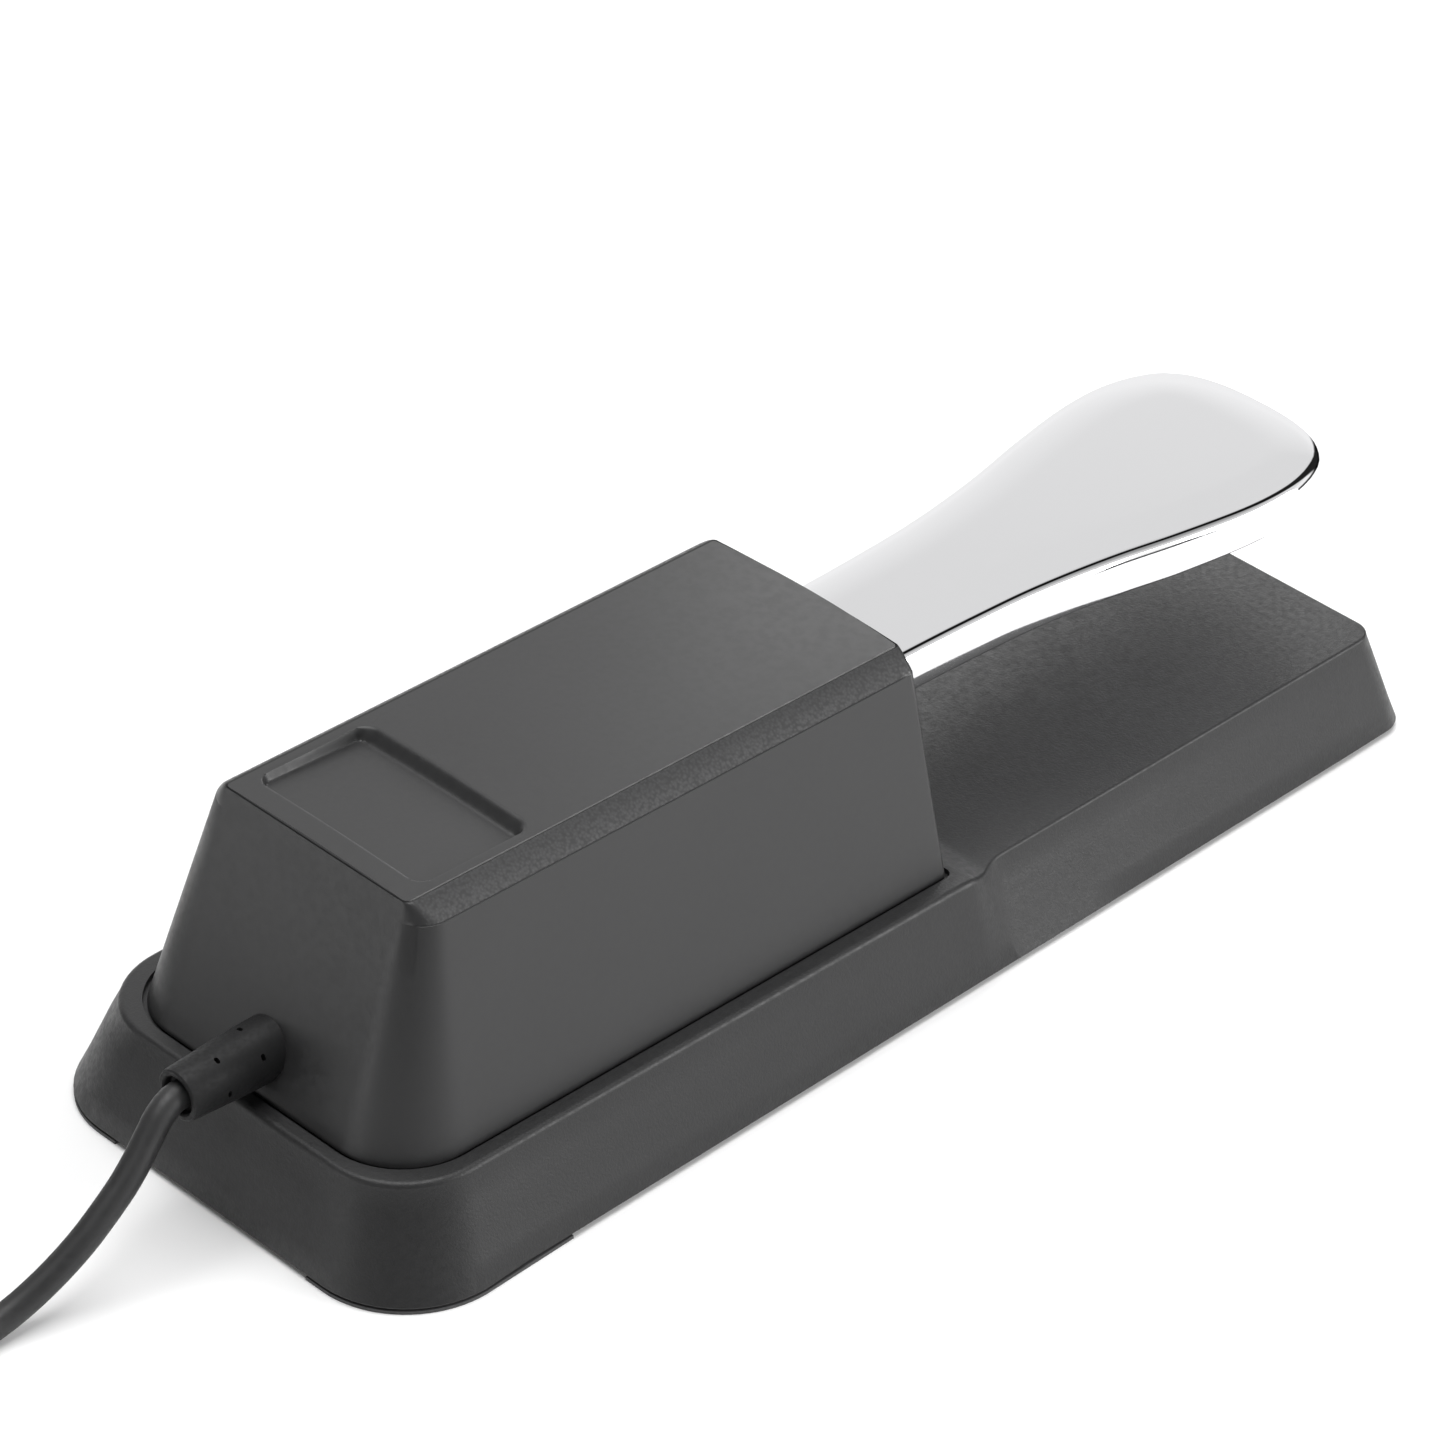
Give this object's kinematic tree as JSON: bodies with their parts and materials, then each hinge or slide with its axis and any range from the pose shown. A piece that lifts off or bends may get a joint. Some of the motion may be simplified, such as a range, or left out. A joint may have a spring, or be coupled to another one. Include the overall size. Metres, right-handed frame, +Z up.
{
  "type": "sustain pedal",
  "caption": "Piano-style sustain pedal: chrome lever with a rounded paddle hinged in a tapered black tower on a long weighted base, with a signal cord to a phone plug.",
  "frame": {"origin": "on the floor, under the middle of the pedal's box without its free cord", "axes": "+Z up; +Y from the toe end of the lever towards the cord exit; +X to the right seen from the toe end"},
  "size_m": [0.1524, 0.3371, 0.0591],
  "materials": {
    "black_abs": "moulded satin black",
    "chrome": "bright plated",
    "rubber": "matt black",
    "zinc_steel": "zinc plated",
    "spring_steel": "drawn wire",
    "nylon": "natural nylon",
    "lead_white": "wire insulation",
    "lead_black": "wire insulation",
    "felt": "pressed felt",
    "board": "solder mask",
    "cord_pvc": "smooth jacket",
    "nickel": "nickel plated"
  },
  "bodies": {
    "pedal_body": {"base_shell": "black_abs", "bottom_plate": "zinc_steel", "rubber_foot_rear_left": "rubber", "rubber_foot_rear_right": "rubber", "rubber_foot_front_left": "rubber", "rubber_foot_front_right": "rubber", "housing_cover": "black_abs", "pivot_bracket": "zinc_steel", "pivot_axle": "zinc_steel", "axle_clip_left": "spring_steel", "axle_clip_right": "spring_steel", "return_spring": "spring_steel", "spring_seat": "nylon", "stop_bracket": "zinc_steel", "up_stop_felt": "felt", "down_stop_bumper": "rubber", "circuit_board": "board", "switch_body": "black_abs", "cover_screw_1": "zinc_steel", "cover_screw_2": "zinc_steel", "cover_screw_3": "zinc_steel", "cover_screw_4": "zinc_steel", "plate_screw_1": "zinc_steel", "plate_screw_2": "zinc_steel", "plate_screw_3": "zinc_steel", "plate_screw_4": "zinc_steel", "bracket_screw_1": "zinc_steel", "bracket_screw_2": "zinc_steel", "bracket_screw_3": "zinc_steel", "bracket_screw_4": "zinc_steel", "stop_screw_1": "zinc_steel", "stop_screw_2": "zinc_steel", "board_screw_1": "zinc_steel", "board_screw_2": "zinc_steel", "strain_relief_boot": "rubber", "inner_cord_tail": "cord_pvc", "inner_lead_left": "lead_white", "inner_lead_right": "lead_black", "cord": "cord_pvc", "cord_coil": "cord_pvc", "cord_end": "cord_pvc", "cord_tie": "rubber", "plug_relief": "rubber", "plug_grip": "black_abs", "plug_sleeve": "nickel", "plug_insulator": "rubber", "plug_tip": "nickel"},
    "lever": {"pedal_lever": "chrome", "lever_bush_left": "nylon", "lever_bush_right": "nylon", "spring_cap": "nylon"},
    "plunger": {"switch_plunger": "nylon"}
  },
  "joints": [
    {"name": "lever_hinge", "type": "hinge", "parent": "pedal_body", "child": "lever", "pos_m": [0, 0.07855, 0.041], "axis": [1, 0, 0], "range_deg": [0, 5.5], "stiffness_Nm_per_rad": 12, "springref_deg": -4.58, "deforming": ["return_spring"]},
    {"name": "plunger_slide", "type": "slide", "parent": "pedal_body", "child": "plunger", "axis": [0, 0, -1], "range_m": [0, 0.003]}
  ],
  "couplings": [
    {"joint": "plunger_slide", "follows": "lever_hinge", "m_per_rad": 0.03}
  ]
}
